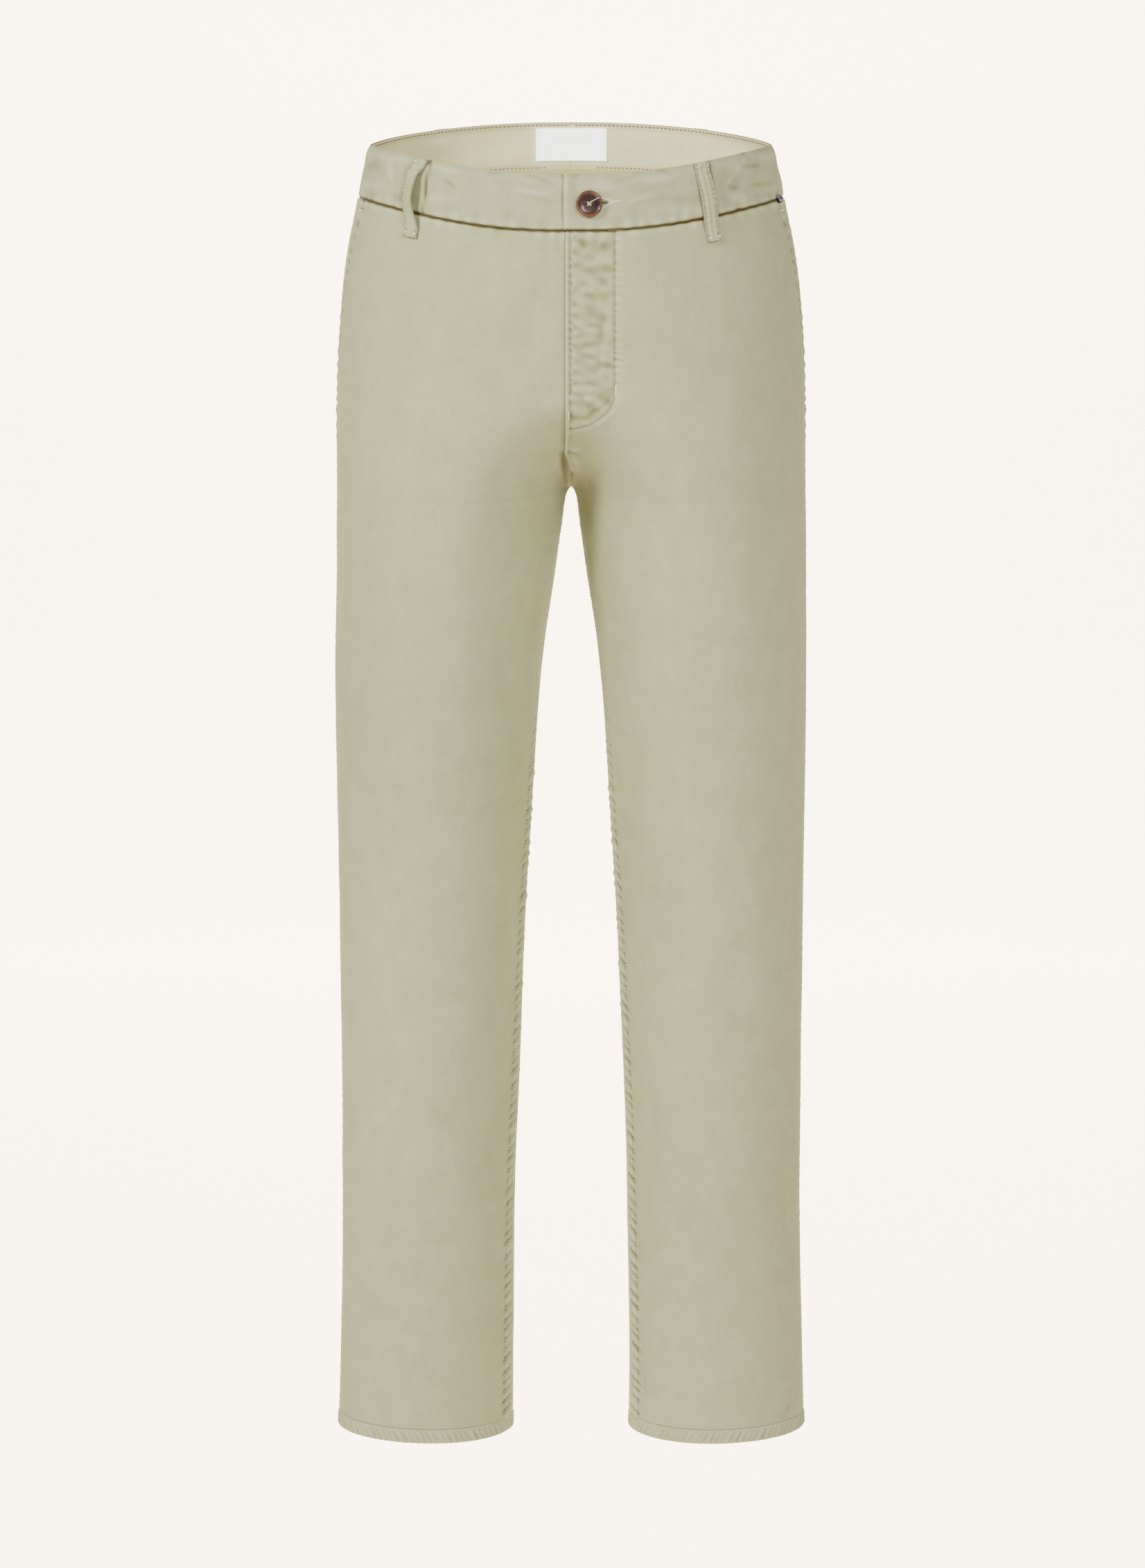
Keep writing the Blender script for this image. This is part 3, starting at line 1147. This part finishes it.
def belt_loop(loop):
    """A strip that bows clear of the band, with two rows of stitching and a bar tack at each end."""
    centre = 2.0 if loop.along is None else float(round_to(LOOP.top, loop.along))

    def places(z):
        run = back_length(z) if centre > 1 else front_length(z)
        fallen = LOOP.top - z
        aside = np.linspace(-0.5, 0.5, 25) * LOOP.width
        swung = loop.swing * ease(fallen / 0.014) * (1 - ease((fallen - 0.030) / 0.026))
        return centre + (aside + loop.lean * fallen + swung) / run

    ends = 0.004
    levels = graded(
        (LOOP.top, 0.0003), (LOOP.top - ends, 0.0010), (LOOP.bottom + ends, 0.0010), (LOOP.bottom, 0.0003),
    )
    face = Face(levels, places, loop.side)
    fallen = LOOP.top - face.z
    bow_length = LOOP.top - LOOP.bottom - 2 * LOOP.fold_length
    rise = loop.lift * np.sin(math.pi * clamp01((fallen - LOOP.fold_length) / bow_length))
    aside = np.linspace(-0.5, 0.5, face.z.shape[1])[None, :]
    from_end = np.minimum(fallen, face.z - LOOP.bottom)
    fold = LOOP.fold * (1 - ease(2 * from_end / LOOP.fold_length - 1))
    thick = LOOP.wall + fold
    from_edge = (0.5 - np.abs(aside)) * LOOP.width
    detail = stitched(from_edge - LOOP.row, 0.0009, 0.0008) + 0.0004 * hill(from_edge - 0.0040, 0.002)
    detail = detail + 0.00045 * puckers(face.z, 0.0041, 101) * hill(from_edge - LOOP.row, 0.0020)
    detail -= 0.0005 * hill(from_end - LOOP.tack, 0.0012)
    under = np.where(face.z > -BAND.depth, band_waves(face), soft_cloth(face.points) + 0.0002)
    base = SEAM_GAP + smoothed(under, 30) + rise * (1 - loop.tip * aside) + thick
    piece = shell(f"twill_{loop.name}", face, detail, base, CLOTH_TWILL, thick, 0.3 * seam_shade(from_edge))
    sewn_on(piece, "cloth", loop.name)
    declare(face)
    sewn = Sewn(face, base + detail, face.from_start)
    width = float(face.from_start[len(levels) // 2, -1])
    thread = Thread(LOOP_ROW.radius)
    for distance in (LOOP.row, width - LOOP.row):
        thread.row(sewn, down(LOOP.top - 0.005, LOOP.bottom + 0.005, distance, 60), LOOP_ROW)
    for level in (LOOP.top - LOOP.tack, LOOP.bottom + LOOP.tack):
        thread.bar(sewn, (level, 0.0012), (level, width - 0.0012), 0.0020)
    thread.make(f"{loop.name}_stitching", CLOTH_THREAD)


# Bar tacks from start to end, each (level, distance), with their width and the pitch of their threads.
Tack = namedtuple("Tack", "start end width pitch")
FLY_TACKS = [
    Tack((-0.178, FLY.width - 0.0002), (-0.187, FLY.width - 0.0002), 0.0017, 0.00045),
    Tack((-0.199, 0.0026 - FLY.lap), (-0.206, 0.0026 - FLY.lap), 0.0012, 0.00045),
]


def fly_sewing(front):
    """The J-shaped row, its bar tack, the short tack on the lapped edge and the row below it."""
    straight = down(FLY.top - 0.001, FLY.bend, FLY.width, 80)
    turn = np.linspace(0, RIGHT_ANGLE, 60)[1:]
    reach = FLY.width - FLY.end_width
    curve = zip(FLY.bend - (FLY.bend - FLY.bottom) * np.sin(turn), FLY.end_width + reach * np.cos(turn))
    rows = Thread(FLY_ROW.radius)
    rows.row(front, straight + list(curve), FLY_ROW)
    for tack in FLY_TACKS:
        rows.bar(front, *tack)
    rows.make("fly_stitching", CLOTH_THREAD)


def pocket_sewing(front, word):
    """The row along the pocket mouth, with a bar tack at each end."""
    rows = Thread(POCKET_ROW.radius)
    rows.row(front, down(POCKET.top - 0.003, POCKET.end + 0.030, POCKET.stitch, 160), POCKET_ROW)
    for level in (POCKET.top - 0.009, POCKET.end + 0.030):
        rows.bar(front, (level, 0.0008), (level, 0.0062), 0.0018)
    rows.make(f"pocket_stitching_{word}", CLOTH_THREAD)


def inseam_sewing(front, word):
    """The two rows of the felled inseam."""
    rows = Thread(INSEAM_ROW.radius)
    for distance in (FELLED.near, FELLED.far):
        rows.row(front, down(CROTCH.z - 0.030, PANEL_END + 0.001, distance, 300), INSEAM_ROW)
    rows.make(f"inseam_stitching_{word}", CLOTH_THREAD)


# Button, round its own axis: distance out and height, as shares of its radius and thickness.
ButtonCut = namedtuple("ButtonCut", "radius thick across level seat hole hole_spread sides")
BUTTON = ButtonCut(0.0102, 0.0034, 0.014, -0.022, 0.0005, 0.0010, 0.0016, 96)
BUTTON_PROFILE = [
    (0.001, 0.0), (0.70, 0.0), (0.86, 0.06), (0.95, 0.20), (0.99, 0.36), (1.0, 0.54), (0.985, 0.74),
    (0.955, 0.90), (0.915, 0.98), (0.87, 1.0), (0.83, 0.96), (0.80, 0.88), (0.775, 0.80), (0.75, 0.79),
    (0.73, 0.84), (0.705, 0.85), (0.68, 0.80), (0.64, 0.77), (0.50, 0.74), (0.36, 0.70), (0.001, 0.70),
]


def turned(profile, sides):
    """Rings round an axis, one for each (out, up), closed at both ends. Returns points and faces."""
    turn = 2 * math.pi * np.arange(sides) / sides
    out, up = np.array(profile).T
    parts = [np.outer(out, np.cos(turn)), np.outer(out, np.sin(turn)), np.outer(up, np.ones(sides))]
    points = np.stack(parts, axis=-1)
    faces = [list(range(sides))[::-1], [(len(profile) - 1) * sides + k for k in range(sides)]]
    for ring, k in itertools.product(range(len(profile) - 1), range(sides)):
        a, b = ring * sides + k, ring * sides + (k + 1) % sides
        faces.append([a, b, b + sides, a + sides])
    return points.reshape(-1, 3), faces


def drilled(body, places, radius, depth):
    """Cuts round holes through a body, along +Z."""
    points, faces = turned([(radius, -depth), (radius, depth)], 24)
    for x, y in places:
        cutter = new_object("drill", points + np.array([x, y, 0]), faces, BUTTON_HORN)
        hole = body.modifiers.new("hole", "BOOLEAN")
        hole.object, hole.solver = cutter, "EXACT"
        bpy.context.view_layer.update()
        cut = bpy.data.meshes.new_from_object(body.evaluated_get(bpy.context.evaluated_depsgraph_get()))
        body.modifiers.clear()
        body.data = cut
        bpy.data.objects.remove(cutter)
    return body


# Threads across the button's holes, and loose ends: from and to, (aside, up, height over its face).
CROSS_THREAD = 0.00016
CROSS_APART = 0.0003
LooseEnd = namedtuple("LooseEnd", "start end radius")
LOOSE_ENDS = [
    LooseEnd((0.0012, 0.0016, 0.0), (0.0050, 0.0034, 0.0008), 0.00022),
    LooseEnd((0.0046, 0.0032, 0.0008), (0.0080, 0.0050, 0.0014), 0.00022),
    LooseEnd((-0.0040, -0.0018, 0.0), (-0.0054, -0.0028, 0.0004), 0.00018),
]
# The keyhole buttonhole: its slit, and the thick gimp sewn round it and past its end.
SLIT_THREAD = 0.0008
SLIT_ENDS = ((-0.0213, 0.0225), (-0.0213, 0.0285))
GIMP_THREAD = 0.00026
GIMP_TACKS = [
    Tack((-0.0176, 0.0225), (-0.0203, 0.0318), 0.0013, 0.00056),
    Tack((-0.0252, 0.0232), (-0.0219, 0.0318), 0.0012, 0.00056),
    Tack((-0.0210, 0.0315), (-0.0208, 0.0380), 0.0014, 0.00056),
]


def button(band_skin):
    """Four-hole button on the lap, its thread, and the keyhole buttonhole that shows beyond it."""
    point, out = band_skin.at(BUTTON.level, BUTTON.across)
    aside = np.cross((0, 0, 1), out)
    aside /= np.linalg.norm(aside)
    axes = np.array([aside, np.cross(out, aside), out])
    seat = point + BUTTON.seat * out
    profile = [(r * BUTTON.radius, h * BUTTON.thick) for r, h in BUTTON_PROFILE]
    points, faces = turned(profile, BUTTON.sides)
    outward = np.hypot(points[:, 0], points[:, 1]) / BUTTON.radius
    uv = np.stack([outward, points[:, 2] / BUTTON.thick], axis=-1)
    body = new_object("horn_button", points, faces, BUTTON_HORN, uv)
    spread = BUTTON.hole_spread
    places = [(x, y) for x in (-spread, spread) for y in (-spread, spread)]
    drilled(body, places, BUTTON.hole, 2 * BUTTON.thick)
    for vertex in body.data.vertices:
        vertex.co = seat + np.array(vertex.co) @ axes
    sewn_on(body, "button", "waist_button")

    def over_face(x, y, up):
        return seat + np.array([x, y, 0.70 * BUTTON.thick + up]) @ axes

    cross = Thread(CROSS_THREAD)
    for offset in (-CROSS_APART, CROSS_APART):
        for slant in (-1, 1):
            start = over_face(-spread + offset, -slant * spread - slant * offset, 0.0001)
            end = over_face(spread + offset, slant * spread - slant * offset, 0.0001)
            cross.add(start, end, out)
    for loose in LOOSE_ENDS:
        cross.add(over_face(*loose.start), over_face(*loose.end), out, loose.radius)
    cross.make("button_thread", PALE_THREAD, "button")

    slit = Thread(SLIT_THREAD)
    (start, out), (end, _) = (band_skin.at(*place) for place in SLIT_ENDS)
    slit.add(start, end, out)
    slit.make("buttonhole_slit", SLIT_SHADE)
    gimp = Thread(GIMP_THREAD)
    for tack in GIMP_TACKS:
        gimp.bar(band_skin, *tack)
    gimp.make("buttonhole_gimp", PALE_THREAD)


# The tab in the waistband seam: a short ribbon folded over a pale one.
TabCut = namedtuple("TabCut", "forward width drop out level gap wall apart")
TAB = TabCut(0.030, 0.0080, 0.0045, 0.0034, -0.0386, 0.0003, 0.0005, 0.0008)


def folded_tab():
    """A navy ribbon above and below a pale one, fanned a little apart at their ends."""
    half = TAB.width / 2 / front_length(TAB.level)
    centre = 1 - TAB.forward / front_length(TAB.level)
    levels = [TAB.level + 0.001, TAB.level, TAB.level - 0.001]
    face = Face(levels, lambda z: centre + np.linspace(-half, half, 9))
    at, out = face.points[1], face.out[1]
    t = np.linspace(0, 1, 9)[:, None, None]
    sunk = -TAB.drop * t**2
    ups = {"navy_tab_top": TAB.apart, "pale_tab_lining": 0.0, "navy_tab_foot": -TAB.apart}
    for name, up in ups.items():
        pale = up == 0.0
        far = TAB.gap + (TAB.out - (0.0002 if pale else 0.0)) * t
        middle = at + out * far + np.array([0, 0, 1]) * (sunk + up * (0.5 + 0.5 * t))
        skins = [middle + np.array([0, 0, k * TAB.wall / 2]) for k in (1, -1)]
        points = np.concatenate([skin.reshape(-1, 3) for skin in skins])
        flat = np.meshgrid(np.linspace(0, TAB.width, 9), np.linspace(0, TAB.out, 9))
        uv = np.tile(np.stack(flat, axis=-1).reshape(-1, 2), (2, 1))
        finish = RIBBON_LINING if pale else NAVY_RIBBON
        piece = new_object(name, points, wall_faces(9, 9, False, False), finish, uv)
        sewn_on(piece, "tab", *(["side_tab"] if up > 0 else []))


panels = build_panels()
for side, word in ((LEFT, "left"), (RIGHT, "right")):
    pocket_facing(side, word)
    pocket_sewing(panels[f"pocket_{word}"], word)
    inseam_sewing(panels[f"front_{word}"], word)
    hem(side, word)
    waist_facing(side, word)
band = {word: waistband(side, word) for side, word in ((LEFT, "left"), (RIGHT, "right"))}
fly_sewing(panels["front_left"])
button(band["left"])
woven_label()
for loop in LOOPS:
    belt_loop(loop)
folded_tab()


# Stage, light and camera.
Studio = namedtuple("Studio", "floor back bend front half top glow spread")
STUDIO = Studio(-1.50, 5.0, 1.6, -6.0, 8.0, 6.0, 7.0, 0.24)
STUDIO_CREAM = shown(249, 243, 238)
STUDIO_GLOW = shown(255, 234, 203)


def studio_floor():
    """A pale floor that turns up into the wall behind in one wide bend."""
    turn = np.linspace(0, RIGHT_ANGLE, 24)
    bend_y = STUDIO.back - STUDIO.bend * (1 - np.sin(turn))
    bend_z = STUDIO.floor + STUDIO.bend * (1 - np.cos(turn))
    profile = [(STUDIO.front, STUDIO.floor), *zip(bend_y, bend_z), (STUDIO.back, STUDIO.top)]
    points = [(x, y, z) for y, z in profile for x in (-STUDIO.half, STUDIO.half)]
    faces = [[2 * i, 2 * i + 1, 2 * i + 3, 2 * i + 2] for i in range(len(profile) - 1)]
    f = Finish("pale studio paper", Specular_IOR_Level=0.0, Emission_Strength=STUDIO.glow)
    fibres = f.noise(f.place(0.4, 0.4, 0.4), 1.0)
    where = f.node("ShaderNodeTexCoord", output=3)
    x, y = (f.node("ShaderNodeSeparateXYZ", {}, {0: where}, output=k) for k in (0, 1))
    aside = f.node("ShaderNodeMath", {"operation": "ABSOLUTE"}, {0: x})
    beyond = aside - STUDIO.spread * (y - CAMERA.place[1])
    lit = f.span(beyond, 0.5, 0.0) * f.span(y, 0.1, 0.6)
    f.put(f.shader.inputs["Emission Color"], f.mix(lit, (0.05, 0.05, 0.05), STUDIO_GLOW))
    paper = f.surface(f.mix(fibres, shown(247, 241, 236), shown(250, 244, 239)), 0.95, fibres, 0.0001)
    new_object("studio_floor", points, faces, paper)


# The softboxes, their colour, the point between the thighs that they face, and the air's own light.
Softbox = namedtuple("Softbox", "name place size power")
SOFTBOXES = [
    Softbox("key_softbox", (-2.3, -2.0, 1.5), (0.8, 1.2), 185),
    Softbox("front_softbox", (1.2, -2.9, 1.3), (1.2, 1.0), 125),
]
LAMP_WHITE = (1.0, 0.99, 0.97)
LIT_POINT = (0, 0, -0.4)
AIR_STRENGTH = 0.24


def facing_point(place, target):
    """The turn of a lamp or a camera at a place that looks at a target."""
    return (Vector(target) - Vector(place)).to_track_quat("-Z", "Y").to_euler()


def softbox(box):
    data = bpy.data.lights.new(box.name, "AREA")
    data.shape = "RECTANGLE"
    data.size, data.size_y = box.size
    data.energy = box.power
    data.color = LAMP_WHITE
    lamp = bpy.data.objects.new(box.name, data)
    lamp.location = box.place
    lamp.rotation_euler = facing_point(box.place, LIT_POINT)
    bpy.context.scene.collection.objects.link(lamp)


studio_floor()
for box in SOFTBOXES:
    softbox(box)

air = bpy.data.worlds.new("studio air")
air.use_nodes = True
air.node_tree.nodes["Background"].inputs["Color"].default_value = (*STUDIO_CREAM, 1)
air.node_tree.nodes["Background"].inputs["Strength"].default_value = AIR_STRENGTH
bpy.context.scene.world = air

lens = bpy.data.cameras.new("camera")
lens.lens, lens.sensor_width = CAMERA.lens, CAMERA.sensor
camera = bpy.data.objects.new("camera", lens)
camera.location = CAMERA.place
camera.rotation_euler = facing_point(CAMERA.place, CAMERA.target)
bpy.context.scene.collection.objects.link(camera)
bpy.context.scene.camera = camera
